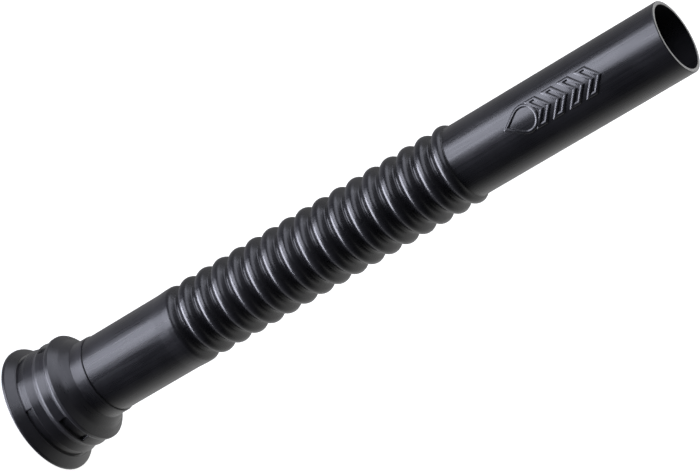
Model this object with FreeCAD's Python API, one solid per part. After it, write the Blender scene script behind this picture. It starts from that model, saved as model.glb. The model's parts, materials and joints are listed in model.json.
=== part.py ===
"""Flexible pouring spout for a fuel can: screw collar, gasket and a corrugated moulded spout.

Millimetres, +Z along the spout's axis from the can to the mouth.
The origin is the centre of the collar's bottom face, so the spout stands upright on Z = 0.
The spout is one moulding on the real object. Its corrugated length is cut here into rigid
crest rings and thin valley webs, so that it can bend: each web is a living hinge.
"""
import FreeCAD, Part
import math
import os

V = FreeCAD.Vector
AXIS = V(0, 0, 1)
FULL_TURN = 360

# ---- driving dimensions of the moulded spout ----
MOUTH_Z = 258.8            # overall length, collar face to mouth
TIP_R = 12.5               # outside of the tube at the mouth, a standard 25 mm filler tip
TUBE_FOOT_R = 12.36        # outside of the tube where it leaves the last corrugation
TAPER_END_Z = 238.0        # the tube is a plain cylinder from here to the mouth
TUBE_BORE_R = 11.2
TIP_EDGE_R = 0.25          # rounding of the mouth's outer edge
MOUTH_EDGE_R = 0.15        # rounding of the mouth's inner edge

CORRUGATIONS = 16
PITCH = 6.95
FIRST_VALLEY_Z = 67.33
CREST_TOP_R = 13.69
CREST_ROUND = 2.3          # radius of a crest's outer arc, in section
VALLEY_FLOOR_R = 11.2
VALLEY_ROUND = 1.1         # radius of a valley's outer arc, in section
SKIN = 1.2                 # wall of the corrugated length

SLEEVE_R = 13.4            # plain sleeve just above the collar
SLEEVE_TOP_R = 13.48       # the same sleeve just below its rounded shoulder
SLEEVE_WALL = 1.2
WAIST_R = 12.56            # reduced length that the collar turns on
WAIST_TOP_Z = 27.65
WAIST_BORE_R = 10.95
SLEEVE_EDGE_R = 0.12       # rounding of the sleeve's edge that faces the collar
SWELL_LENGTH = 5.5         # the sleeve swells out over this length below its shoulder
SWELL_ROUND = 8.0
BORE_STEP = (0.8, 2.2)     # the bore widens between these heights above the waist
BORE_STEP_ROUND = (1.0, 1.5)
BORE_SWELL_LENGTH = 2.5
FLANGE_R = 15.1
FLANGE_Z = 15.8
FLANGE_THICK = 1.7
FLANGE_EDGE_R = 0.3
FLANGE_MOUTH_R = 0.6       # rounding where the bore opens into the can

# ---- driving dimensions of the collar ----
BRIM_R = 22.2
BRIM_TOP_Z = 1.1           # the brim's edge is upright up to here
BRIM_EDGE_R = 0.4          # rounding of the brim's bottom edge
BRIM_SHOULDER_R = 0.9      # rounding of the brim's top edge
SKIRT_R = 19.05            # skirt above the brim's flare
FLARE_TOP_Z = 4.2
FLARE_ROUND = 2.0
SKIRT_TOP_Z = 7.1          # above this the wall leans in to the lower step
STEP_R = 18.2              # foot of the two steps round the skirt
STEP_FLOOR = 0.2           # height of each step's foot
LOWER_STEP_Z = 10.0
RIB_R = 18.95              # ridge between the two steps
RIB_Z = 11.9
RIB_ROUND = 1.2
UPPER_STEP_Z = 14.9
BAND_R = 19.03             # raised band under the shoulder
BAND_Z = (16.2, 17.4)
BAND_ROUND = (0.8, 0.3)    # rounding of the band's lower and upper edges
CONE_WAIST_R = 16.4        # the cone bends here, between the band and the neck
CONE_WAIST_Z = 19.6
CONE_ROUND = 6.0
CONE_TOP_Z = 22.7
CONE_TOP_ROUND = 0.5
NECK_R = 13.8
NECK_TOP_Z = 27.6
NECK_EDGE_R = 0.25
NECK_BORE_R = 12.65
BORE_CHAMFER = 0.3
THREAD_ROOT_R = 16.2
THREAD_CREST_R = 15.3
THREAD_PITCH = 3.6
THREAD_START_Z = 3.9
THREAD_TURNS = 2.0
THREAD_BASE = 2.0          # width of the thread ridge at its root
THREAD_LAND = 0.8          # width of the thread ridge at its crest
THREAD_ROOTED = 0.4        # depth by which the ridge is rooted in the wall
MOUTH_BORE_R = 17.0        # plain lead-in below the thread
MOUTH_BORE_Z = 3.0
MOUTH_CHAMFER = 0.4
THREAD_RELIEF = (0.4, 0.6) # bevels below and above the threaded length
SEAT_BORE_R = 15.4
SEAT_BORE_Z = 13.5         # the gasket's chamber starts here
SEAT_TOP_Z = 17.8

LOWER_GROOVE_Z = (4.0, 6.7)
LOWER_SLOT_FLOOR_R = 18.5
LOWER_TABS = 2             # flush bridges across the lower groove
LOWER_TAB_CENTRE = -24.4   # degrees from -Y towards +X
LOWER_TAB_SPAN = 32.6
UPPER_GROOVE_Z = (12.4, 16.0)
UPPER_SLOT_FLOOR_R = 17.7
UPPER_SLOTS = 3
UPPER_SLOT_CENTRE = 35.0
UPPER_SLOT_SPAN = 36.0

# ---- driving dimensions of the gasket ----
GASKET_R = 15.1
GASKET_BORE_R = 10.8
GASKET_Z = 13.9
GASKET_EDGE_R = 0.4

# ---- raised flow mark on the tube ----
MARK_Z = 199.0             # start of the droplet
MARK_PROUD = 0.35
MARK_STROKE = 0.9
MARK_WIDTH = 9.4           # across the tube
MARK_TURN = -9.0           # degrees from -Y towards +X
MARK_MARGIN = 1.0          # plain tube beyond the mark that its working shell still covers
DROP_LENGTH = 12.5
CHEVRONS = 4
CHEVRON_PITCH = 6.4
CHEVRON_THICK = 4.0
CHEVRON_POINT = 4.2        # how far a chevron's point leads its arms
CHEVRON_GAP = 1.4          # space between the droplet and the first chevron

CREST_CENTRE_R = CREST_TOP_R - CREST_ROUND
VALLEY_CENTRE_R = VALLEY_FLOOR_R + VALLEY_ROUND
HALF_PITCH = PITCH / 2
LAST_CREST_Z = FIRST_VALLEY_Z + (CORRUGATIONS - 0.5) * PITCH
TUBE_FOOT_RISE = 3.0       # the tube proper starts this far above the last crest's middle
TUBE_FOOT_Z = LAST_CREST_Z + TUBE_FOOT_RISE

# a flank is the straight line that touches a crest's arc and the next valley's arc:
# each arc runs this many degrees either side of its own middle
centre_distance = math.hypot(HALF_PITCH, VALLEY_CENTRE_R - CREST_CENTRE_R)
ARC_HALF = (math.degrees(math.asin((CREST_ROUND + VALLEY_ROUND) / centre_distance))
            - math.degrees(math.atan2(VALLEY_CENTRE_R - CREST_CENTRE_R, HALF_PITCH)))
SAME_POINT = 1e-6


# ---- sections in the plane Y = 0, each point given as (radius, height) ----
def arc(centre_r, centre_z, radius, from_deg, to_deg):
    """Circular arc; the angles start at the outward direction and turn towards +Z."""
    def at(degrees):
        angle = math.radians(degrees)
        return V(centre_r + radius * math.cos(angle), 0, centre_z + radius * math.sin(angle))
    return Part.Arc(at(from_deg), at((from_deg + to_deg) / 2), at(to_deg))


def corner_arc(before, corner, after, radius):
    """The arc that rounds a corner between two straight runs."""
    to_before = (before - corner).normalize()
    to_after = (after - corner).normalize()
    half = to_before.getAngle(to_after) / 2
    reach = radius / math.tan(half)
    middle = (to_before + to_after).normalize()
    centre = corner + middle * (radius / math.sin(half))
    return Part.Arc(corner + to_before * reach, centre - middle * radius, corner + to_after * reach)


def ends(piece):
    if isinstance(piece, Part.Arc):
        return piece.StartPoint, piece.EndPoint
    if isinstance(piece, V):
        return piece, piece
    point = V(piece[0], 0, piece[1])
    return point, point


def section(pieces):
    """Closed face from points (r, z), rounded corners (r, z, radius) and arcs, in order."""
    curves = []
    for index, piece in enumerate(pieces):
        if not isinstance(piece, Part.Arc) and len(piece) == 3:
            before = ends(pieces[index - 1])[1]
            after = ends(pieces[(index + 1) % len(pieces)])[0]
            piece = corner_arc(before, ends(piece)[0], after, piece[2])
        curves.append(piece)
    edges = []
    for piece, following in zip(curves, curves[1:] + curves[:1]):
        if isinstance(piece, Part.Arc):
            edges.append(piece.toShape())
        here = ends(piece)[1]
        there = ends(following)[0]
        if here.distanceToPoint(there) > SAME_POINT:
            edges.append(Part.LineSegment(here, there).toShape())
    return Part.Face(Part.Wire(edges))


def revolve(pieces):
    return section(pieces).revolve(V(0, 0, 0), AXIS, FULL_TURN)


def sector_ring(inner_r, outer_r, low_z, high_z, centre_deg, span_deg):
    """Part of a square-edged ring; the angle is counted from -Y towards +X."""
    corners = [(inner_r, low_z), (outer_r, low_z), (outer_r, high_z), (inner_r, high_z)]
    piece = section(corners).revolve(V(0, 0, 0), AXIS, span_deg)
    piece.rotate(V(0, 0, 0), AXIS, centre_deg - span_deg / 2 - 90)
    return piece


def save(node, shape):
    """Write one node, after checking that it is sound."""
    if not shape.isValid() or shape.Volume <= 0:
        raise ValueError(node + " is not a sound solid")
    shape.exportStep("parts/" + node + ".step")
    print(node, round(shape.Volume, 1))


# ---- the corrugated length ----
def crest_ring(centre_z):
    """Hooped cap of one corrugation, between its two flanks."""
    outer = arc(CREST_CENTRE_R, centre_z, CREST_ROUND, -ARC_HALF, ARC_HALF)
    inner = arc(CREST_CENTRE_R, centre_z, CREST_ROUND - SKIN, ARC_HALF, -ARC_HALF)
    return revolve([outer, inner])


def valley_web(centre_z):
    """Thin valley with the flanks either side of it: the living hinge."""
    low, high = 180 + ARC_HALF, 180 - ARC_HALF
    outer = arc(VALLEY_CENTRE_R, centre_z, VALLEY_ROUND, low, high)
    inner = arc(VALLEY_CENTRE_R, centre_z, VALLEY_ROUND + SKIN, high, low)
    crest_above = ends(arc(CREST_CENTRE_R, centre_z + HALF_PITCH, CREST_ROUND, -ARC_HALF, 0))[0]
    crest_above_inside = ends(
        arc(CREST_CENTRE_R, centre_z + HALF_PITCH, CREST_ROUND - SKIN, -ARC_HALF, 0))[0]
    crest_below = ends(arc(CREST_CENTRE_R, centre_z - HALF_PITCH, CREST_ROUND, 0, ARC_HALF))[1]
    crest_below_inside = ends(
        arc(CREST_CENTRE_R, centre_z - HALF_PITCH, CREST_ROUND - SKIN, 0, ARC_HALF))[1]
    return revolve([
        (crest_below.x, crest_below.z),
        outer,
        (crest_above.x, crest_above.z),
        (crest_above_inside.x, crest_above_inside.z),
        inner,
        (crest_below_inside.x, crest_below_inside.z),
    ])


def last_crest():
    """The crest next to the tube: its upper side runs straight into the tube's wall."""
    foot_angle = math.degrees(math.acos((TUBE_FOOT_R - CREST_CENTRE_R) / CREST_ROUND))
    outer = arc(CREST_CENTRE_R, LAST_CREST_Z, CREST_ROUND, -ARC_HALF, foot_angle)
    inner = arc(CREST_CENTRE_R, LAST_CREST_Z, CREST_ROUND - SKIN, 90, -ARC_HALF)
    return revolve([
        outer,
        (TUBE_FOOT_R, TUBE_FOOT_Z),
        (TUBE_BORE_R, TUBE_FOOT_Z),
        (TUBE_BORE_R, LAST_CREST_Z + CREST_ROUND - SKIN),
        inner,
    ])


# ---- the plain sleeve with the waist and flange that hold the collar ----
def lower_sleeve():
    top_crest_z = FIRST_VALLEY_Z - HALF_PITCH
    flange_top_z = FLANGE_Z + FLANGE_THICK
    shoulder = arc(CREST_CENTRE_R, top_crest_z, CREST_ROUND, 0, ARC_HALF)
    inside = arc(CREST_CENTRE_R, top_crest_z, CREST_ROUND - SKIN, ARC_HALF, 0)
    sleeve_bore_r = SLEEVE_R - SLEEVE_WALL
    return revolve([
        (WAIST_BORE_R, FLANGE_Z, FLANGE_MOUTH_R),
        (FLANGE_R, FLANGE_Z, FLANGE_EDGE_R),
        (FLANGE_R, flange_top_z, FLANGE_EDGE_R),
        (WAIST_R, flange_top_z),
        (WAIST_R, WAIST_TOP_Z),
        (SLEEVE_R, WAIST_TOP_Z, SLEEVE_EDGE_R),
        (SLEEVE_TOP_R, top_crest_z - SWELL_LENGTH, SWELL_ROUND),
        shoulder,
        inside,
        (sleeve_bore_r, top_crest_z - BORE_SWELL_LENGTH, BORE_STEP_ROUND[1]),
        (sleeve_bore_r, WAIST_TOP_Z + BORE_STEP[1], BORE_STEP_ROUND[1]),
        (WAIST_BORE_R, WAIST_TOP_Z + BORE_STEP[0], BORE_STEP_ROUND[0]),
    ])


# ---- the tube with its raised flow mark ----
def drop_outline(reach_in):
    """Droplet lying along the axis with its point towards the can, shrunk by reach_in."""
    round_r = MARK_WIDTH / 2
    centre_z = MARK_Z + DROP_LENGTH - round_r
    radius = round_r - reach_in
    to_point = centre_z - MARK_Z - reach_in * (centre_z - MARK_Z) / round_r
    touch = math.acos(radius / to_point)
    side_x = radius * math.sin(touch)
    side_z = centre_z - radius * math.cos(touch)
    tip = V(0, 0, centre_z - to_point)
    round_end = Part.Arc(V(side_x, 0, side_z), V(0, 0, centre_z + radius), V(-side_x, 0, side_z))
    sides = [Part.LineSegment(tip, V(side_x, 0, side_z)), Part.LineSegment(V(-side_x, 0, side_z), tip)]
    return Part.Face(Part.Wire([sides[0].toShape(), round_end.toShape(), sides[1].toShape()]))


def chevron_outline(back_z, reach_in):
    """Chevron whose point leads towards the mouth, shrunk all round by reach_in."""
    half = MARK_WIDTH / 2
    slope = CHEVRON_POINT / half
    slant = reach_in * math.hypot(1, slope)
    side = half - reach_in
    low_tip = back_z + CHEVRON_POINT + slant
    high_tip = back_z + CHEVRON_POINT + CHEVRON_THICK - slant
    fall = side * slope
    corners = [(0, low_tip), (side, low_tip - fall), (side, high_tip - fall), (0, high_tip),
               (-side, high_tip - fall), (-side, low_tip - fall), (0, low_tip)]
    return Part.Face(Part.makePolygon([V(x, 0, z) for x, z in corners]))


def flow_mark():
    """Droplet and a row of chevrons, as raised outlines that follow the tube's roundness."""
    outer_r = TIP_R + MARK_PROUD
    rooted_r = TUBE_FOOT_R - MARK_PROUD
    figures = [drop_outline(0).cut(drop_outline(MARK_STROKE))]
    first_z = MARK_Z + DROP_LENGTH + CHEVRON_GAP - CHEVRON_POINT
    for number in range(CHEVRONS):
        back_z = first_z + number * CHEVRON_PITCH
        figures.append(chevron_outline(back_z, 0).cut(chevron_outline(back_z, MARK_STROKE)))
    shell_low = MARK_Z - MARK_MARGIN
    shell_high = TAPER_END_Z
    shell = Part.makeCylinder(outer_r, shell_high - shell_low, V(0, 0, shell_low))
    shell = shell.cut(Part.makeCylinder(rooted_r, shell_high - shell_low, V(0, 0, shell_low)))
    strokes = []
    for figure in figures:
        strokes.append(figure.extrude(V(0, -2 * outer_r, 0)).common(shell))
    mark = strokes[0].multiFuse(strokes[1:])
    mark.rotate(V(0, 0, 0), AXIS, MARK_TURN)
    return mark


def pour_tube():
    tube = revolve([
        (TUBE_BORE_R, TUBE_FOOT_Z),
        (TUBE_FOOT_R, TUBE_FOOT_Z),
        (TIP_R, TAPER_END_Z),
        (TIP_R, MOUTH_Z, TIP_EDGE_R),
        (TUBE_BORE_R, MOUTH_Z, MOUTH_EDGE_R),
    ])
    return tube.fuse(flow_mark()).removeSplitter()


# ---- the screw collar ----
def thread_ridge():
    """One start of rounded-square thread, standing inwards from the collar's bore."""
    root_r = THREAD_ROOT_R + THREAD_ROOTED
    helix = Part.makeHelix(THREAD_PITCH, THREAD_PITCH * THREAD_TURNS, root_r)
    half_base = THREAD_BASE / 2
    half_land = THREAD_LAND / 2
    corners = [V(root_r, 0, -half_base), V(THREAD_CREST_R, 0, -half_land),
               V(THREAD_CREST_R, 0, half_land), V(root_r, 0, half_base)]
    profile = Part.makePolygon(corners + corners[:1])
    ridge = Part.Wire(helix).makePipeShell([profile], True, True)
    ridge.translate(V(0, 0, THREAD_START_Z + half_base))
    return ridge


def collar_blank():
    """The collar's turned shape, before the thread and the slots."""
    return revolve([
        (MOUTH_BORE_R + MOUTH_CHAMFER, 0),
        (BRIM_R, 0, BRIM_EDGE_R),
        (BRIM_R, BRIM_TOP_Z, BRIM_SHOULDER_R),
        (SKIRT_R, FLARE_TOP_Z, FLARE_ROUND),
        (SKIRT_R, SKIRT_TOP_Z),
        (STEP_R, LOWER_STEP_Z),
        (STEP_R, LOWER_STEP_Z + STEP_FLOOR),
        (RIB_R, RIB_Z, RIB_ROUND),
        (STEP_R, UPPER_STEP_Z),
        (STEP_R, UPPER_STEP_Z + STEP_FLOOR),
        (BAND_R, BAND_Z[0], BAND_ROUND[0]),
        (BAND_R, BAND_Z[1], BAND_ROUND[1]),
        (CONE_WAIST_R, CONE_WAIST_Z, CONE_ROUND),
        (NECK_R, CONE_TOP_Z, CONE_TOP_ROUND),
        (NECK_R, NECK_TOP_Z, NECK_EDGE_R),
        (NECK_BORE_R + BORE_CHAMFER, NECK_TOP_Z),
        (NECK_BORE_R, NECK_TOP_Z - BORE_CHAMFER),
        (NECK_BORE_R, SEAT_TOP_Z),
        (SEAT_BORE_R, SEAT_TOP_Z),
        (SEAT_BORE_R, SEAT_BORE_Z),
        (THREAD_ROOT_R, SEAT_BORE_Z - THREAD_RELIEF[1]),
        (THREAD_ROOT_R, MOUTH_BORE_Z + THREAD_RELIEF[0]),
        (MOUTH_BORE_R, MOUTH_BORE_Z),
        (MOUTH_BORE_R, MOUTH_CHAMFER),
    ])


def collar_slots():
    """Coring slots round the collar: long ones at the brim, short ones under the shoulder."""
    slots = []
    step = FULL_TURN / LOWER_TABS
    slot_span = step - LOWER_TAB_SPAN
    for number in range(LOWER_TABS):
        centre = LOWER_TAB_CENTRE + (number + 0.5) * step
        slots.append(sector_ring(LOWER_SLOT_FLOOR_R, BRIM_R, *LOWER_GROOVE_Z, centre, slot_span))
    for number in range(UPPER_SLOTS):
        centre = UPPER_SLOT_CENTRE + number * FULL_TURN / UPPER_SLOTS
        slots.append(sector_ring(UPPER_SLOT_FLOOR_R, BRIM_R, *UPPER_GROOVE_Z, centre, UPPER_SLOT_SPAN))
    return slots


def screw_collar():
    return collar_blank().fuse(thread_ridge()).cut(collar_slots())


def gasket():
    high_z = FLANGE_Z
    return revolve([
        (GASKET_BORE_R, GASKET_Z, GASKET_EDGE_R),
        (GASKET_R, GASKET_Z, GASKET_EDGE_R),
        (GASKET_R, high_z),
        (GASKET_BORE_R, high_z),
    ])


os.makedirs("parts", exist_ok=True)
save("screw_collar", screw_collar())
save("gasket", gasket())
save("lower_sleeve", lower_sleeve())
for number in range(1, CORRUGATIONS + 1):
    valley_z = FIRST_VALLEY_Z + (number - 1) * PITCH
    crest = last_crest() if number == CORRUGATIONS else crest_ring(valley_z + HALF_PITCH)
    save(f"flex_web_{number:02d}", valley_web(valley_z))
    save(f"corrugation_{number:02d}", crest)
save("pour_tube", pour_tube())
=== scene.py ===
"""Looks of the flexible pouring spout: satin black moulded polyethylene on a pale floor.

Metres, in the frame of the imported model: +Z from the can to the mouth, collar standing on Z = 0.
Outlines are worked out in millimetres and turned into metres as their meshes are made.
"""
import json
import math

import bpy
import numpy as np
from mathutils import Matrix, Vector


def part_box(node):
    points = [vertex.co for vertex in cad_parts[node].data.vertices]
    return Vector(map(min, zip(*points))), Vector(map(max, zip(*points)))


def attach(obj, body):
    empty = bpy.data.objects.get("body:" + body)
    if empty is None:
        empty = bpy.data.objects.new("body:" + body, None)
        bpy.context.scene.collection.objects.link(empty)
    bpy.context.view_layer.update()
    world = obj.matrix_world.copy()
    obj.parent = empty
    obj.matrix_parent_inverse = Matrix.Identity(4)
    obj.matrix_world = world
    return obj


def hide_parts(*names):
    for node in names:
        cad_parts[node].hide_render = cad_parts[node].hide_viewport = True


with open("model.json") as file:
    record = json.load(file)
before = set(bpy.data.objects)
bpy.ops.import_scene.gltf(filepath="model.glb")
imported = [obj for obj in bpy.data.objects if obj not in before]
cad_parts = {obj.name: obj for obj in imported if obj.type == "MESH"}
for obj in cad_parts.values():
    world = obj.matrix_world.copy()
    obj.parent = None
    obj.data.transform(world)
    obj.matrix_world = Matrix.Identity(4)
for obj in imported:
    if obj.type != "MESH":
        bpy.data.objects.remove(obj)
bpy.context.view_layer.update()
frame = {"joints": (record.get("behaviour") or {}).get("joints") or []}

MM = 0.001
TURN = 2 * math.pi

# ---------------------------------------------------------------- camera
# The lens looks at the mouth from a little above the axis, with the spout rising to the right.
LENS_MM = 206.92
SENSOR_MM = 36.0
AXIS_TILT = math.radians(64.65)      # between the spout's axis and the line back to the camera
AXIS_ROLL = math.radians(30.61)      # slope of the axis across the picture
MOUTH_RIGHT = 0.09985                # mouth centre from the optical axis, to the right
MOUTH_UP = 0.06092                   # and upwards
MOUTH_AWAY = 1.2312                  # and along the optical axis


def make_camera(mouth_z):
    """Camera placed from where the spout's axis and mouth appear to it."""
    axis = Vector((math.sin(AXIS_TILT) * math.cos(AXIS_ROLL),
                   math.sin(AXIS_TILT) * math.sin(AXIS_ROLL),
                   math.cos(AXIS_TILT)))
    to_camera = Vector((0, 0, 1))
    near = (to_camera - axis * axis.dot(to_camera)).normalized()
    right = axis.cross(near)
    # columns are the model's X, Y and Z as the camera sees them; -Y is the near side
    turn = Matrix((right, -near, axis)).transposed()
    mouth = Vector((MOUTH_RIGHT, MOUTH_UP, -MOUTH_AWAY))
    origin = mouth - axis * mouth_z
    data = bpy.data.cameras.new("camera")
    data.lens = LENS_MM
    data.sensor_width = SENSOR_MM
    camera = bpy.data.objects.new("camera", data)
    bpy.context.scene.collection.objects.link(camera)
    camera.matrix_world = (Matrix.Translation(origin) @ turn.to_4x4()).inverted()
    bpy.context.scene.camera = camera


# ---------------------------------------------------------------- measures, in millimetres
def height(node, corner):
    """Lowest (0) or highest (1) Z of a CAD node."""
    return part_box(node)[corner].z / MM


def widest(node):
    """Largest radius of a round CAD node."""
    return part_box(node)[1].x / MM


HINGES = [joint for joint in frame["joints"] if joint["name"].startswith("bend_x")]
TWISTS = [joint for joint in frame["joints"] if joint["name"].startswith("bend_y")]
VALLEYS = [joint["pos_m"][2] / MM for joint in HINGES]
HALF_PITCH = (VALLEYS[1] - VALLEYS[0]) / 2
FIRST_CREST = VALLEYS[0] - HALF_PITCH        # the sleeve's rounded shoulder
LAST_CREST = VALLEYS[-1] + HALF_PITCH

CREST_TOP_R = widest("corrugation_01")
CREST_ROUND = 2.3
VALLEY_FLOOR_R = 11.2
VALLEY_ROUND = 1.1
SKIN = 1.2                 # wall of the corrugated length
LIP_R = 11.05              # underside of a corrugation's lip, a ball about the valley's hinge
LIP_REACH = 2.2            # from the valley's middle to the end of that ball, along the axis
FLOOR_R = 11.0             # ball under the lips
FLOOR_REACH = 2.0
CREST_STEPS = 14           # along each arc of a corrugation's section
VALLEY_STEPS = 9
INNER_STEPS = 5
FLOOR_STEPS = 12

MOUTH = height("pour_tube", 1)
TIP_R = 12.5
TUBE_FOOT_R = 12.36
TAPER_END = 238.0
TUBE_BORE_R = 11.2
FOOT_FILLET = 0.45
FOOT_STEPS = 4
TUBE_ROW_STEP = 4.0        # longest gap between the rows of the tube's wall
BORE_LEAN = 0.2            # radians by which the last crest's inner arc stops short of the bore
MOUTH_OUTER_EDGE = 0.25
MOUTH_INNER_EDGE = 0.15
MOUTH_STEPS = 6

SLEEVE_R = 13.4
SLEEVE_TOP_R = 13.48
SLEEVE_BORE_R = 12.2
WAIST_R = 12.56
WAIST_BORE_R = 10.95
WAIST_TOP = 27.65
WAIST_STEP = (0.8, 2.2)    # rise of the bore's step above the waist, from its start to its end
SLEEVE_EDGE = 0.12
SHOULDER_LOW = 5.5         # start of the flare, its end and the bore's end, below the first crest
SHOULDER_HIGH = 1.6
SHOULDER_BORE = 2.5
FLANGE_R = 15.1
FLANGE_LOW = height("lower_sleeve", 0)
FLANGE_HIGH = FLANGE_LOW + 1.7

BRIM_R = widest("screw_collar")
BRIM_EDGE = 1.1            # height of the brim's edge
FLARE_TOP = 4.2
SKIRT_R = 19.05
SKIRT_TOP = 7.1
STEP_R = 18.2
STEP_FLAT = 0.2            # straight foot of each step
LOWER_STEP = 10.0
RIB_R = 18.95
RIB = 11.9
UPPER_STEP = 14.9
BAND_R = 19.03
BAND_LOW = 16.2
BAND_HIGH = 17.4
CONE_R = 16.4              # bend of the cone
CONE = 19.6
CONE_TOP = 22.7
NECK_R = 13.8
NECK_TOP = height("screw_collar", 1)
NECK_BORE_R = 12.65
NECK_BEVEL = 0.3
SEAT_R = 15.4
SEAT_LOW = 13.5
SEAT_TOP = 17.8
LEAD_IN_R = 17.0
LEAD_IN_TOP = 3.0
LEAD_IN_BEVEL = 0.4
THREAD_ROOT_R = 16.2
THREAD_CREST_R = 15.3
THREAD_PITCH = 3.6
THREAD_TURNS = 2.0
THREAD_START = 3.9
THREAD_BASE = 2.0
THREAD_LAND = 0.8
THREAD_RELIEF = (0.4, 0.6) # bevels below and above the threaded length
THREAD_RUN_OUT = 0.03      # middle of the ridge's fade at each end, and its length, in turns
THREAD_FADE = 0.05
THREAD_ROW_STEP = 0.2

# slots cut round the collar: lowest and highest Z, floor radius, how many, middle and span in
# degrees counted from -Y towards +X
LOWER_SLOTS = (4.0, 6.7, 18.5, 2, 65.6, 147.4)
UPPER_SLOTS = (12.4, 16.0, 17.7, 3, 35.0, 36.0)
SLOT_EDGE = 0.16
SLOT_LEAN = 0.05           # width over which a slot's wall falls to its floor
SLOT_INSIDE = 0.12         # last row beside a slot's wall, on its floor
COLLAR_TURN_STEP = 2.5     # degrees between the collar's columns away from the slots

GASKET_R = 15.1
GASKET_BORE_R = 10.8

MARK_START = 199.0
MARK_PROUD = 0.35
MARK_STROKE = 0.9
MARK_WIDTH = 9.4
MARK_TURN = -9.0
MARK_FLANK = 0.36          # width over which a stroke rises
MARK_MARGIN = 0.6          # fine columns beside the mark
MARK_TURN_STEP = 0.75      # degrees between those columns
MARK_ROW_STEP = 0.16
PLAIN_TURN = 2.5           # degrees from them to the first plain column
PLAIN_COLUMNS = 100
DROP_LENGTH = 12.5
CHEVRONS = 4
CHEVRON_PITCH = 6.4
CHEVRON_THICK = 4.0
CHEVRON_POINT = 4.2
CHEVRON_GAP = 1.4

CREST_CENTRE_R = CREST_TOP_R - CREST_ROUND
VALLEY_CENTRE_R = VALLEY_FLOOR_R + VALLEY_ROUND
CENTRES_APART = math.hypot(HALF_PITCH, VALLEY_CENTRE_R - CREST_CENTRE_R)
# each arc of the corrugations runs this far from its own middle before the straight flank
ARC_HALF = (math.asin((CREST_ROUND + VALLEY_ROUND) / CENTRES_APART)
            - math.atan2(VALLEY_CENTRE_R - CREST_CENTRE_R, HALF_PITCH))


# ---------------------------------------------------------------- outlines: rows of (radius, height)
ROUNDING_STEPS = 5         # along each rounded corner
ROW_STEP = 3.0             # longest gap between the rows of a straight wall
ROW_MARGIN = 0.12          # from a wall's end to its first row


def arc_rows(centre_r, centre_z, radius, start, end, steps):
    """Points along an arc; angles start at the outward direction and turn towards +Z."""
    angles = np.linspace(start, end, steps + 1)
    return np.stack([centre_r + radius * np.cos(angles), centre_z + radius * np.sin(angles)], 1)


def filled(rows, step):
    """Closed outline with more rows on its straight runs: one near each end, so that smooth
    shading stays flat along the run, and one at least every step millimetres."""
    out = []
    for here, there in zip(rows, np.roll(rows, -1, 0)):
        out.append(here)
        length = np.linalg.norm(there - here)
        if length > 4 * ROW_MARGIN:
            pieces = math.ceil(length / step)
            shares = [ROW_MARGIN / length] + [n / pieces for n in range(1, pieces)]
            for share in shares + [1 - ROW_MARGIN / length]:
                out.append(here + (there - here) * share)
    return np.array(out)


def rounded(points):
    """Closed outline through corners (r, z, rounding)."""
    places = np.array([point[:2] for point in points], float)
    rows = []
    for index, (here, point) in enumerate(zip(places, points)):
        to_before = places[index - 1] - here
        to_after = places[(index + 1) % len(points)] - here
        to_before /= np.linalg.norm(to_before)
        to_after /= np.linalg.norm(to_after)
        half = math.acos(np.clip(to_before @ to_after, -1, 1)) / 2
        middle = (to_before + to_after) / np.linalg.norm(to_before + to_after)
        centre = here + middle * point[2] / math.sin(half)
        first = here + to_before * point[2] / math.tan(half) - centre
        swing = math.pi - 2 * half
        if first[0] * middle[1] - first[1] * middle[0] > 0:
            swing = -swing
        for angle in np.linspace(0, swing, ROUNDING_STEPS + 1):
            c, s = math.cos(angle), math.sin(angle)
            rows.append(centre + (first[0] * c - first[1] * s, first[0] * s + first[1] * c))
    return filled(np.array(rows), ROW_STEP)


def with_heights(outline, heights, least_r, most_r):
    """The outline with a row added wherever its wall within those radii crosses a height."""
    out = []
    for here, there in zip(outline, np.roll(outline, -1, 0)):
        out.append(here)
        if least_r < min(here[0], there[0]) and max(here[0], there[0]) < most_r:
            rise = there[1] - here[1]
            crossed = [z for z in heights if (z - here[1]) * (z - there[1]) < 0]
            for z in sorted(crossed, reverse=bool(rise < 0)):
                out.append(here + (there - here) * (z - here[1]) / rise)
    return np.array(out)


# ---------------------------------------------------------------- meshes
COLUMNS = 128              # round a plain piece
SHARP_ANGLE = math.radians(50)


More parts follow.
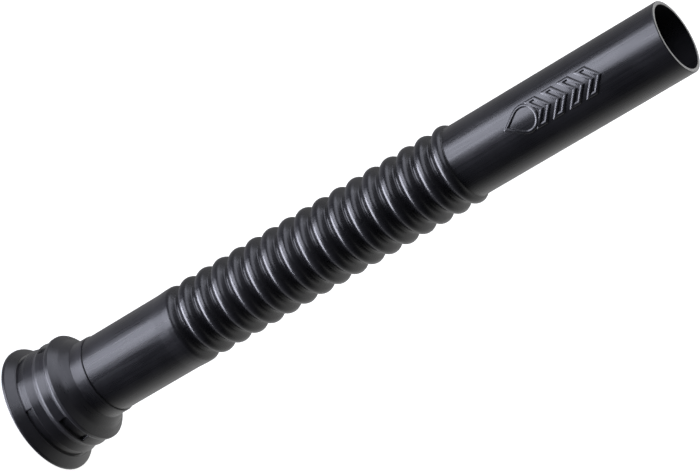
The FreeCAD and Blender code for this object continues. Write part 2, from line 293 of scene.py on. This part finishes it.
def turned(name, outline, angles=None, relief=None, normals=None):
    """Mesh of a closed outline turned about +Z.

    The angles are counted from -Y towards +X. relief(r, z, angle) gives each point's radius,
    and normals, as rows of (outward, upward), replace the smooth shading's own.
    """
    if angles is None:
        angles = np.arange(COLUMNS) * TURN / COLUMNS
    rows, columns = len(outline), len(angles)
    angle = np.tile(angles, (rows, 1))
    r = np.repeat(outline[:, :1], columns, 1)
    z = np.repeat(outline[:, 1:], columns, 1)
    if relief:
        r = relief(r, z, angle)
    points = np.stack([r * np.sin(angle), -r * np.cos(angle), z], -1) * MM
    row, column = np.meshgrid(np.arange(rows), np.arange(columns), indexing="ij")
    next_row, next_column = (row + 1) % rows, (column + 1) % columns
    corners = [(row, column), (row, next_column), (next_row, next_column), (next_row, column)]
    quads = np.stack([(a * columns + b).ravel() for a, b in corners], 1)
    following = np.roll(outline, -1, 0)
    if np.sum(outline[:, 0] * following[:, 1] - following[:, 0] * outline[:, 1]) < 0:
        quads = quads[:, ::-1]
    mesh = bpy.data.meshes.new(name)
    mesh.from_pydata(points.reshape(-1, 3).tolist(), [], quads.tolist())
    mesh.polygons.foreach_set("use_smooth", [True] * len(mesh.polygons))
    mesh.set_sharp_from_angle(angle=SHARP_ANGLE)
    if normals is not None:
        outward, upward = normals[:, :1], np.repeat(normals[:, 1:], columns, 1)
        directions = np.stack([outward * np.sin(angle), -outward * np.cos(angle), upward], -1)
        mesh.normals_split_custom_set_from_vertices(directions.reshape(-1, 3).tolist())
    piece = bpy.data.objects.new(name, mesh)
    bpy.context.scene.collection.objects.link(piece)
    return piece


def finish_piece(piece, material, nodes, body):
    """Material, the CAD nodes that the piece stands for, which it hides, and the body it rides on.
    """
    piece.data.materials.append(material)
    if nodes:
        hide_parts(*nodes)
    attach(piece, body)


def soft_step(value, edge, width):
    """0 below the edge, 1 above it, smooth over width."""
    t = np.clip((value - edge) / width + 0.5, 0, 1)
    return t * t * (3 - 2 * t)


def turn_from(angle, centre, repeats=1):
    """Degrees from the nearest of the directions that lie evenly round from centre."""
    step = 360 / repeats
    return (np.degrees(angle) - centre + step / 2) % step - step / 2


# ---------------------------------------------------------------- corrugated length
def half_corrugation(crest_z, up):
    """Rows from the top of a crest to the floor of the next valley, above (up 1) or below (-1):
    the outer wall with the direction that each row faces, and the inner wall on the way back."""
    valley_z = crest_z + up * HALF_PITCH
    turn = up * ARC_HALF
    out_crest = arc_rows(CREST_CENTRE_R, crest_z, CREST_ROUND, 0, turn, CREST_STEPS)
    out_valley = arc_rows(VALLEY_CENTRE_R, valley_z, VALLEY_ROUND, math.pi + turn, math.pi,
                          VALLEY_STEPS)
    reach = -up * math.asin(LIP_REACH / LIP_R)
    in_valley = arc_rows(0, valley_z, LIP_R, 0, reach, INNER_STEPS)
    in_crest = arc_rows(CREST_CENTRE_R, crest_z, CREST_ROUND - SKIN, turn, 0, INNER_STEPS)
    crest_middle = np.array((CREST_CENTRE_R, crest_z))
    valley_middle = np.array((VALLEY_CENTRE_R, valley_z))
    outer = np.vstack([out_crest, out_valley])
    inner = np.vstack([in_valley, in_crest])
    outer_facing = np.vstack([(out_crest - crest_middle) / CREST_ROUND,
                              (valley_middle - out_valley) / VALLEY_ROUND])
    inner_facing = np.vstack([(np.array((0, valley_z)) - in_valley) / LIP_R,
                              (crest_middle - in_crest) / (CREST_ROUND - SKIN)])
    return outer, outer_facing, inner, inner_facing


def crest_skin(name, crest_z, sides, material, nodes, body):
    """One rigid corrugation, from valley to valley, or from its middle to one valley."""
    rows, facing = [], []
    for up in sides:
        outer, outer_facing, inner, inner_facing = half_corrugation(crest_z, up)
        rows.append((outer, inner))
        facing.append((outer_facing, inner_facing))
    if len(sides) == 1:
        outline = np.vstack(rows[0])
        directions = np.vstack(facing[0])
    else:
        # up the outside from the lower valley to the upper one, then down the inside
        (low_out, low_in), (high_out, high_in) = rows
        (low_out_f, low_in_f), (high_out_f, high_in_f) = facing
        outline = np.vstack([low_out[:0:-1], high_out, high_in, low_in[-2::-1]])
        directions = np.vstack([low_out_f[:0:-1], high_out_f, high_in_f, low_in_f[-2::-1]])
    skin = turned(name, outline, normals=directions)
    finish_piece(skin, material, nodes, body)


def valley_floor(name, valley_z, material, nodes, body):
    """Ball-shaped floor under the lips of the two corrugations beside a valley. It is centred on
    the hinge, so that the lips slide over it as the spout bends."""
    half_turn = math.asin(FLOOR_REACH / FLOOR_R)
    outer = arc_rows(0, valley_z, FLOOR_R, -half_turn, half_turn, FLOOR_STEPS)
    bore_r = VALLEY_FLOOR_R - SKIN
    inner = np.array([(bore_r, valley_z + FLOOR_REACH), (bore_r, valley_z - FLOOR_REACH)])
    floor = turned(name, np.vstack([outer, inner]))
    finish_piece(floor, material, nodes, body)


def make_corrugations(material):
    """A rigid ring to each crest and a floor to each valley, so that no valley opens in a bend."""
    crest_skin("crest_00", FIRST_CREST, (1,), material, [], "sleeve")
    for number, (hinge, twist) in enumerate(zip(HINGES, TWISTS), 1):
        valley = VALLEYS[number - 1]
        valley_floor(f"valley_{number:02d}", valley, material, [f"flex_web_{number:02d}"],
                     hinge["child"])
        if number < len(HINGES):
            crest_skin(f"crest_{number:02d}", valley + HALF_PITCH, (-1, 1), material,
                       [f"corrugation_{number:02d}"], twist["child"])
        else:
            crest_skin(f"crest_{number:02d}", LAST_CREST, (-1,), material, [], twist["child"])


# ---------------------------------------------------------------- sleeve
def make_sleeve(material):
    """Plain sleeve up to its rounded shoulder, with the waist and flange inside the collar."""
    outline = rounded([
        (WAIST_BORE_R, FLANGE_LOW, 0.6),
        (FLANGE_R, FLANGE_LOW, 0.3),
        (FLANGE_R, FLANGE_HIGH, 0.3),
        (WAIST_R, FLANGE_HIGH, 0.12),
        (WAIST_R, WAIST_TOP, 0.12),
        (SLEEVE_R, WAIST_TOP, SLEEVE_EDGE),
        (SLEEVE_TOP_R, FIRST_CREST - SHOULDER_LOW, 8),
        (CREST_TOP_R, FIRST_CREST - SHOULDER_HIGH, 3),
        (CREST_TOP_R, FIRST_CREST, 0.001),
        (CREST_TOP_R - SKIN, FIRST_CREST, 0.001),
        (SLEEVE_BORE_R, FIRST_CREST - SHOULDER_BORE, 1.5),
        (SLEEVE_BORE_R, WAIST_TOP + WAIST_STEP[1], 1.5),
        (WAIST_BORE_R, WAIST_TOP + WAIST_STEP[0], 1.0),
    ])
    sleeve = turned("sleeve", outline)
    finish_piece(sleeve, material, ["lower_sleeve"], "sleeve")


# ---------------------------------------------------------------- tube with its raised mark
def droplet(across, along):
    """Signed distance to a droplet whose point is towards the can; negative inside."""
    radius = MARK_WIDTH / 2
    reach = DROP_LENGTH - radius
    x = np.abs(across)
    y = MARK_START + reach - along
    lean = radius / reach
    rise = math.sqrt(1 - lean * lean)
    past = rise * y - lean * x
    flank = rise * x + lean * y - radius
    distance = np.where(past > rise * reach, np.hypot(x, y - reach), flank)
    return np.where(past < 0, np.hypot(x, y) - radius, distance)


def chevron(across, along, back):
    """Signed distance to a chevron whose point is towards the mouth; negative inside."""
    half = MARK_WIDTH / 2
    slope = CHEVRON_POINT / half
    x = np.abs(across)
    above = (along - back - CHEVRON_POINT + slope * x) / math.hypot(1, slope)
    thick = CHEVRON_THICK / math.hypot(1, slope)
    return np.maximum(x - half, np.maximum(-above, above - thick))


def mark_height(across, along):
    """Height of the raised outlines, 0 away from them."""
    figures = [droplet(across, along)]
    first = MARK_START + DROP_LENGTH + CHEVRON_GAP - CHEVRON_POINT
    for number in range(CHEVRONS):
        figures.append(chevron(across, along, first + number * CHEVRON_PITCH))
    raised = np.zeros_like(across)
    for figure in figures:
        beyond = np.abs(figure + MARK_STROKE / 2) - MARK_STROKE / 2
        raised = np.maximum(raised, 1 - soft_step(beyond, 0, MARK_FLANK))
    return raised * MARK_PROUD


def make_tube(material):
    """Pouring tube from the top of the last crest to the mouth, with the raised flow mark."""
    fillet_r = TUBE_FOOT_R + FOOT_FILLET
    fillet_rise = math.sqrt((CREST_ROUND + FOOT_FILLET) ** 2 - (fillet_r - CREST_CENTRE_R) ** 2)
    touch = math.atan2(fillet_rise, fillet_r - CREST_CENTRE_R)
    foot = LAST_CREST + fillet_rise
    rows = np.vstack([
        arc_rows(CREST_CENTRE_R, LAST_CREST, CREST_ROUND, 0, touch, CREST_STEPS),
        arc_rows(fillet_r, foot, FOOT_FILLET, math.pi + touch, math.pi, FOOT_STEPS),
        [(TIP_R, TAPER_END)],
        arc_rows(TIP_R - MOUTH_OUTER_EDGE, MOUTH - MOUTH_OUTER_EDGE, MOUTH_OUTER_EDGE,
                 0, math.pi / 2, MOUTH_STEPS),
        arc_rows(TUBE_BORE_R + MOUTH_INNER_EDGE, MOUTH - MOUTH_INNER_EDGE, MOUTH_INNER_EDGE,
                 math.pi / 2, math.pi, MOUTH_STEPS),
        arc_rows(CREST_CENTRE_R, LAST_CREST, CREST_ROUND - SKIN, math.pi / 2 - BORE_LEAN, 0,
                 INNER_STEPS),
    ])
    mark_end = MARK_START + DROP_LENGTH + CHEVRON_GAP + CHEVRONS * CHEVRON_PITCH
    mark_rows = np.arange(MARK_START - 1, mark_end + 1, MARK_ROW_STEP)
    wall_middle = (TIP_R + TUBE_BORE_R) / 2
    outline = with_heights(filled(rows, TUBE_ROW_STEP), mark_rows, wall_middle, TIP_R + 1)
    half_mark = math.degrees((MARK_WIDTH / 2 + MARK_MARGIN) / TIP_R)
    fine = np.arange(MARK_TURN - half_mark, MARK_TURN + half_mark, MARK_TURN_STEP)
    plain = np.linspace(fine[-1] + PLAIN_TURN, fine[0] + 360 - PLAIN_TURN, PLAIN_COLUMNS)
    angles = np.radians(np.concatenate([fine, plain]))

    def relief(r, z, angle):
        across = np.radians(turn_from(angle, MARK_TURN)) * TIP_R
        return r + np.where(r > wall_middle, mark_height(across, z), 0)

    tube = turned("pouring_tube", outline, angles=angles, relief=relief)
    finish_piece(tube, material, ["pour_tube", "corrugation_16"], "tube")


# ---------------------------------------------------------------- collar and gasket
def cut_to_floor(r, z, angle, slots):
    """Radius after a row of slots with slightly rounded edges is cut."""
    low, high, floor, count, centre, span = slots
    beside = (span / 2 - np.abs(turn_from(angle, centre, count))) * math.radians(1) * floor
    inside = np.minimum(np.minimum(z - low, high - z), beside)
    reach = np.clip(inside + SLOT_EDGE, 0, SLOT_EDGE)
    edge = SLOT_EDGE - np.sqrt(SLOT_EDGE ** 2 - reach ** 2)
    wall = np.clip(inside / SLOT_LEAN, 0, 1)
    return r - np.maximum(r - floor, 0) * wall - edge * (1 - wall)


def slot_lines(low, high):
    """Places of the rows that a slot's edges and walls need."""
    offsets = (-SLOT_EDGE, -SLOT_EDGE * 0.6, -SLOT_EDGE * 0.25, 0, SLOT_LEAN, SLOT_INSIDE)
    return [low + offset for offset in offsets] + [high - offset for offset in offsets]


def thread_height(z, angle):
    """Height of the inside thread, a right-hand helix that starts at +X."""
    ridge = np.zeros_like(z)
    for lap in range(-1, math.ceil(THREAD_TURNS) + 1):
        turns = angle / TURN - 0.25 + lap
        away = np.abs(z - THREAD_START - THREAD_BASE / 2 - turns * THREAD_PITCH)
        profile = soft_step(-away, -(THREAD_BASE + THREAD_LAND) / 4,
                            (THREAD_BASE - THREAD_LAND) / 2)
        begun = soft_step(turns, THREAD_RUN_OUT, THREAD_FADE)
        ended = soft_step(turns, THREAD_TURNS - THREAD_RUN_OUT, THREAD_FADE)
        ridge = np.maximum(ridge, profile * (begun * (1 - ended)))
    return ridge * (THREAD_ROOT_R - THREAD_CREST_R)


def make_collar(material):
    """Screw collar: brim, ribs, raised band, shoulder and neck outside, thread and seat inside."""
    outline = rounded([
        (LEAD_IN_R + LEAD_IN_BEVEL, 0, 0.1),
        (BRIM_R, 0, 0.4),
        (BRIM_R, BRIM_EDGE, 0.9),
        (SKIRT_R, FLARE_TOP, 2.0),
        (SKIRT_R, SKIRT_TOP, 0.1),
        (STEP_R, LOWER_STEP, 0.04),
        (STEP_R, LOWER_STEP + STEP_FLAT, 0.04),
        (RIB_R, RIB, 1.2),
        (STEP_R, UPPER_STEP, 0.04),
        (STEP_R, UPPER_STEP + STEP_FLAT, 0.04),
        (BAND_R, BAND_LOW, 0.8),
        (BAND_R, BAND_HIGH, 0.3),
        (CONE_R, CONE, 6.0),
        (NECK_R, CONE_TOP, 0.5),
        (NECK_R, NECK_TOP, 0.25),
        (NECK_BORE_R + NECK_BEVEL, NECK_TOP, 0.1),
        (NECK_BORE_R, NECK_TOP - NECK_BEVEL, 0.1),
        (NECK_BORE_R, SEAT_TOP, 0.15),
        (SEAT_R, SEAT_TOP, 0.3),
        (SEAT_R, SEAT_LOW, 0.15),
        (THREAD_ROOT_R, SEAT_LOW - THREAD_RELIEF[1], 0.15),
        (THREAD_ROOT_R, LEAD_IN_TOP + THREAD_RELIEF[0], 0.15),
        (LEAD_IN_R, LEAD_IN_TOP, 0.15),
        (LEAD_IN_R, LEAD_IN_BEVEL, 0.1),
    ])
    outer_wall = (SKIRT_R + LEAD_IN_R) / 2
    edges = []
    angles = set(np.arange(0, 360, COLLAR_TURN_STEP))
    for low, high, floor, count, centre, span in (LOWER_SLOTS, UPPER_SLOTS):
        edges += slot_lines(low, high)
        for number in range(count):
            middle = (centre + number * 360 / count) * math.radians(1) * floor
            half = span / 2 * math.radians(1) * floor
            ends = slot_lines(middle - half, middle + half)
            angles.update(math.degrees(end / floor) % 360 for end in ends)
    outline = with_heights(outline, edges, outer_wall, BRIM_R + 1)
    thread_rows = np.arange(LEAD_IN_TOP + 0.6, SEAT_LOW - 0.7, THREAD_ROW_STEP)
    outline = with_heights(outline, thread_rows, SEAT_R, LEAD_IN_R - 0.1)

    def relief(r, z, angle):
        cut = cut_to_floor(r, z, angle, LOWER_SLOTS)
        cut = cut_to_floor(cut, z, angle, UPPER_SLOTS)
        threaded = (r > SEAT_R + 0.1) & (r < THREAD_ROOT_R + 0.1) & (z < SEAT_LOW)
        return np.where(r > outer_wall, cut, r - np.where(threaded, thread_height(z, angle), 0))

    angles = np.radians(np.array(sorted(angles)))
    collar = turned("collar", outline, angles=angles, relief=relief)
    finish_piece(collar, material, ["screw_collar"], "collar")


def make_gasket(material):
    """Flat sealing ring under the spout's flange."""
    low, high = height("gasket", 0), height("gasket", 1)
    outline = rounded([
        (GASKET_BORE_R, low, 0.4),
        (GASKET_R, low, 0.4),
        (GASKET_R, high, 0.15),
        (GASKET_BORE_R, high, 0.15),
    ])
    ring = turned("seal_ring", outline)
    finish_piece(ring, material, ["gasket"], "sleeve")


# ---------------------------------------------------------------- materials
# darkest and lightest colour, then least and most roughness of each material
SPOUT_COLOURS = (0.0095, 0.0095, 0.0108, 1), (0.0140, 0.0138, 0.0155, 1)
COLLAR_COLOURS = (0.0130, 0.0130, 0.0145, 1), (0.0190, 0.0185, 0.0205, 1)
SEAL_COLOURS = (0.012, 0.012, 0.012, 1), (0.020, 0.019, 0.018, 1)
SPOUT_ROUGHNESS = (0.25, 0.34)
COLLAR_ROUGHNESS = (0.26, 0.36)
SEAL_ROUGHNESS = (0.62, 0.8)
PATCH_ROUGHNESS = (-0.02, 0.03)      # added to the roughness in broad patches
PLASTIC_IOR = 1.51
RUBBER_IOR = 1.48


def add_node(tree, kind, settings=None, inputs=None):
    """New node; each of its inputs is linked to a socket or set to a value."""
    node = tree.nodes.new(kind)
    for key, value in (settings or {}).items():
        setattr(node, key, value)
    for key, value in (inputs or {}).items():
        if isinstance(value, bpy.types.NodeSocket):
            tree.links.new(value, node.inputs[key])
        else:
            node.inputs[key].default_value = value
    return node


class Nodes:
    """Short hand for a material's node tree."""

    def __init__(self, name):
        self.material = bpy.data.materials.new(name)
        self.material.use_nodes = True
        self.tree = self.material.node_tree
        self.shader = self.tree.nodes["Principled BSDF"]
        self.place = self.add("ShaderNodeTexCoord").outputs["Object"]

    def add(self, kind, settings=None, inputs=None):
        return add_node(self.tree, kind, settings, inputs)

    def stretched(self, scale):
        """Object coordinates scaled by three numbers."""
        node = self.add("ShaderNodeMapping", None, {"Vector": self.place, "Scale": scale})
        return node.outputs["Vector"]

    def round_and_up(self, around, outward, upward):
        """Coordinates that run round the axis, outward and upward, scaled by three numbers."""
        part = self.add("ShaderNodeSeparateXYZ", None, {"Vector": self.place})
        x, y, z = part.outputs
        angle = self.math("ARCTAN2", x, y)
        flat = self.add("ShaderNodeCombineXYZ", None, {"X": x, "Y": y})
        reach = self.add("ShaderNodeVectorMath", {"operation": "LENGTH"},
                         {0: flat.outputs[0]}).outputs["Value"]
        joined = self.add("ShaderNodeCombineXYZ", None, {
            "X": self.math("MULTIPLY", self.math("SINE", angle), around),
            "Y": self.math("MULTIPLY", self.math("COSINE", angle), around),
            "Z": self.math("ADD", self.math("MULTIPLY", z, upward),
                           self.math("MULTIPLY", reach, outward)),
        })
        return joined.outputs[0]

    def math(self, operation, first, second=0.0):
        return self.add("ShaderNodeMath", {"operation": operation},
                        {0: first, 1: second}).outputs[0]

    def noise(self, vector, scale, detail=3.0, roughness=0.5):
        return self.add("ShaderNodeTexNoise", None, {
            "Vector": vector, "Scale": scale, "Detail": detail, "Roughness": roughness,
        }).outputs["Fac"]

    def ranged(self, value, low, high, to_low, to_high):
        return self.add("ShaderNodeMapRange", {"interpolation_type": "SMOOTHSTEP"}, {
            "Value": value, "From Min": low, "From Max": high,
            "To Min": to_low, "To Max": to_high,
        }).outputs["Result"]

    def between_colours(self, value, first, second):
        node = self.add("ShaderNodeMix", {"data_type": "RGBA"}, {"Factor": value})
        node.inputs["A"].default_value = first
        node.inputs["B"].default_value = second
        return next(out for out in node.outputs if out.type == "RGBA")

    def bump(self, height, strength, distance, before=None):
        inputs = {"Height": height, "Strength": strength, "Distance": distance}
        if before:
            inputs["Normal"] = before
        return self.add("ShaderNodeBump", None, inputs).outputs["Normal"]

    def join(self, **sockets):
        for name, value in sockets.items():
            socket = self.shader.inputs[name.replace("_", " ")]
            if isinstance(value, bpy.types.NodeSocket):
                self.tree.links.new(value, socket)
            else:
                socket.default_value = value


def spout_material():
    """Blow-moulded black polyethylene: satin, faint orange peel, fine streaks along the axis."""
    m = Nodes("spout_polyethylene")
    streaks = m.noise(m.stretched((1, 1, 0.035)), 1300, 4, 0.6)
    patches = m.noise(m.place, 55, 3)
    peel = m.noise(m.place, 900, 2)
    colour = m.between_colours(m.ranged(patches, 0.35, 0.65, 0, 1),
                               *SPOUT_COLOURS)
    gloss = m.math("ADD", m.ranged(streaks, 0.3, 0.7, *SPOUT_ROUGHNESS),
                   m.ranged(patches, 0.3, 0.7, *PATCH_ROUGHNESS))
    normal = m.bump(peel, 0.18, 0.00006)
    normal = m.bump(streaks, 0.22, 0.00004, normal)
    m.join(Base_Color=colour, Roughness=gloss, Normal=normal, IOR=PLASTIC_IOR)
    return m.material


def collar_material():
    """Injection-moulded black plastic, a little duller, with fine lathe lines round it."""
    m = Nodes("collar_plastic")
    lines = m.noise(m.round_and_up(0.35, 900, 900), 6, 4, 0.65)
    patches = m.noise(m.place, 70, 3)
    peel = m.noise(m.place, 1200, 2)
    colour = m.between_colours(m.ranged(patches, 0.35, 0.65, 0, 1),
                               *COLLAR_COLOURS)
    gloss = m.math("ADD", m.ranged(lines, 0.3, 0.7, *COLLAR_ROUGHNESS),
                   m.ranged(patches, 0.3, 0.7, *PATCH_ROUGHNESS))
    normal = m.bump(peel, 0.2, 0.00006)
    normal = m.bump(lines, 0.25, 0.00004, normal)
    m.join(Base_Color=colour, Roughness=gloss, Normal=normal, IOR=PLASTIC_IOR)
    return m.material


def seal_material():
    """Matt black nitrile rubber with a fine grain."""
    m = Nodes("seal_rubber")
    grain = m.noise(m.place, 2600, 3)
    patches = m.noise(m.place, 240, 3)
    colour = m.between_colours(m.ranged(patches, 0.3, 0.7, 0, 1), *SEAL_COLOURS)
    m.join(Base_Color=colour, Roughness=m.ranged(grain, 0.3, 0.7, *SEAL_ROUGHNESS),
           Normal=m.bump(grain, 0.4, 0.00006), IOR=RUBBER_IOR)
    return m.material


# ---------------------------------------------------------------- studio
LIGHT_AWAY = 1.2                     # metres
FLOOR_HALF = 6.0
COOL = (0.84, 0.86, 1.0)
# the room's light rises from 0 to its full strength between these directions Y
ROOM_FRONT = -0.42
ROOM_BACK = 0.5
ROOM_STRENGTH = 0.95
# brightness of the room behind the spout against direction X: dimmer on the left and in the middle
ROOM_GREYS = ((-1.0, 0.28), (-0.65, 0.36), (-0.45, 0.42), (-0.3, 0.26), (-0.15, 0.22), (0.05, 0.3),
              (0.2, 0.46), (0.35, 0.66), (0.5, 0.88), (1.0, 0.95))


def direction(azimuth, elevation):
    """Unit vector; azimuth is in degrees from -Y towards +X, and elevation above the horizon."""
    a, e = math.radians(azimuth), math.radians(elevation)
    return Vector((math.sin(a) * math.cos(e), -math.cos(a) * math.cos(e), math.sin(e)))


def soft_box(name, azimuth, elevation, half_wide, half_tall, radiance, colour=(1, 1, 1)):
    """Rectangular light that faces the spout; its half sizes are given as angles in degrees."""
    back = direction(azimuth, elevation)
    across = Vector((math.cos(math.radians(azimuth)), math.sin(math.radians(azimuth)), 0))
    up = back.cross(across)
    data = bpy.data.lights.new(name, "AREA")
    data.shape = "RECTANGLE"
    data.size = 2 * LIGHT_AWAY * math.tan(math.radians(half_wide))
    data.size_y = 2 * LIGHT_AWAY * math.tan(math.radians(half_tall))
    data.energy = math.pi * data.size * data.size_y * radiance
    data.color = colour
    light = bpy.data.objects.new(name, data)
    bpy.context.scene.collection.objects.link(light)
    place = Matrix.Translation(Vector((0, 0, MOUTH * MM / 2)) + back * LIGHT_AWAY)
    light.matrix_world = place @ Matrix((across, up, back)).transposed().to_4x4()
    light.visible_camera = False


def make_world():
    """White where it is seen; as a light, a pale room behind the spout and darkness in front."""
    world = bpy.data.worlds.new("room")
    bpy.context.scene.world = world
    world.use_nodes = True
    tree = world.node_tree
    place = add_node(tree, "ShaderNodeTexCoord").outputs["Generated"]
    split = add_node(tree, "ShaderNodeSeparateXYZ", None, {0: place})
    depth = add_node(tree, "ShaderNodeMapRange", {"interpolation_type": "SMOOTHSTEP"}, {
        "Value": split.outputs["Y"], "From Min": ROOM_FRONT, "From Max": ROOM_BACK,
        "To Min": 0.0, "To Max": ROOM_STRENGTH,
    })
    across = add_node(tree, "ShaderNodeMapRange", None, {
        "Value": split.outputs["X"], "From Min": -1.0,
    })
    side = add_node(tree, "ShaderNodeValToRGB", None, {"Fac": across.outputs["Result"]})
    steps = side.color_ramp.elements
    for toward, grey in ROOM_GREYS[1:-1]:
        steps.new(toward / 2 + 0.5)
    for step, (toward, grey) in zip(steps, ROOM_GREYS):
        step.position = toward / 2 + 0.5
        step.color = (grey, grey, grey, 1)
    room = add_node(tree, "ShaderNodeMath", {"operation": "MULTIPLY"}, {
        0: depth.outputs["Result"], 1: side.outputs["Color"],
    })
    on_view = add_node(tree, "ShaderNodeLightPath").outputs["Is Camera Ray"]
    seen = add_node(tree, "ShaderNodeMix", None, {
        "Factor": on_view, "A": room.outputs[0], "B": 1.0,
    })
    background = tree.nodes["Background"]
    background.inputs["Color"].default_value = (1, 1, 1, 1)
    tree.links.new(seen.outputs[0], background.inputs["Strength"])


def make_floor():
    """Plain pale floor. Only the camera sees it, so that it doesn't shade the lights."""
    mesh = bpy.data.meshes.new("floor")
    mesh.from_pydata([(x * FLOOR_HALF, y * FLOOR_HALF, 0)
                      for x, y in ((-1, -1), (1, -1), (1, 1), (-1, 1))], [], [(0, 1, 2, 3)])
    floor = bpy.data.objects.new("floor", mesh)
    bpy.context.scene.collection.objects.link(floor)
    m = Nodes("pale_floor")
    m.join(Base_Color=(0.8, 0.8, 0.8, 1), Roughness=0.9, Specular_IOR_Level=0.0,
           Emission_Color=(1, 1, 1, 1), Emission_Strength=0.85)
    mesh.materials.append(m.material)
    floor.visible_diffuse = floor.visible_glossy = floor.visible_shadow = False


def make_studio():
    """Room, floor and lights, with colours shown as they are."""
    bpy.context.scene.view_settings.view_transform = "Standard"
    make_world()
    make_floor()
    soft_box("key", -46, -21, 22, 17, 7.2, COOL)
    soft_box("base_key", -44, -68, 22, 21, 14.0, COOL)
    soft_box("top", -75, 42, 38, 18, 2.8, COOL)
    soft_box("mouth_fill", 180, 27, 14, 10, 2.0)


make_camera(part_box("pour_tube")[1].z)
spout = spout_material()
make_sleeve(spout)
make_corrugations(spout)
make_tube(spout)
make_collar(collar_material())
make_gasket(seal_material())
make_studio()
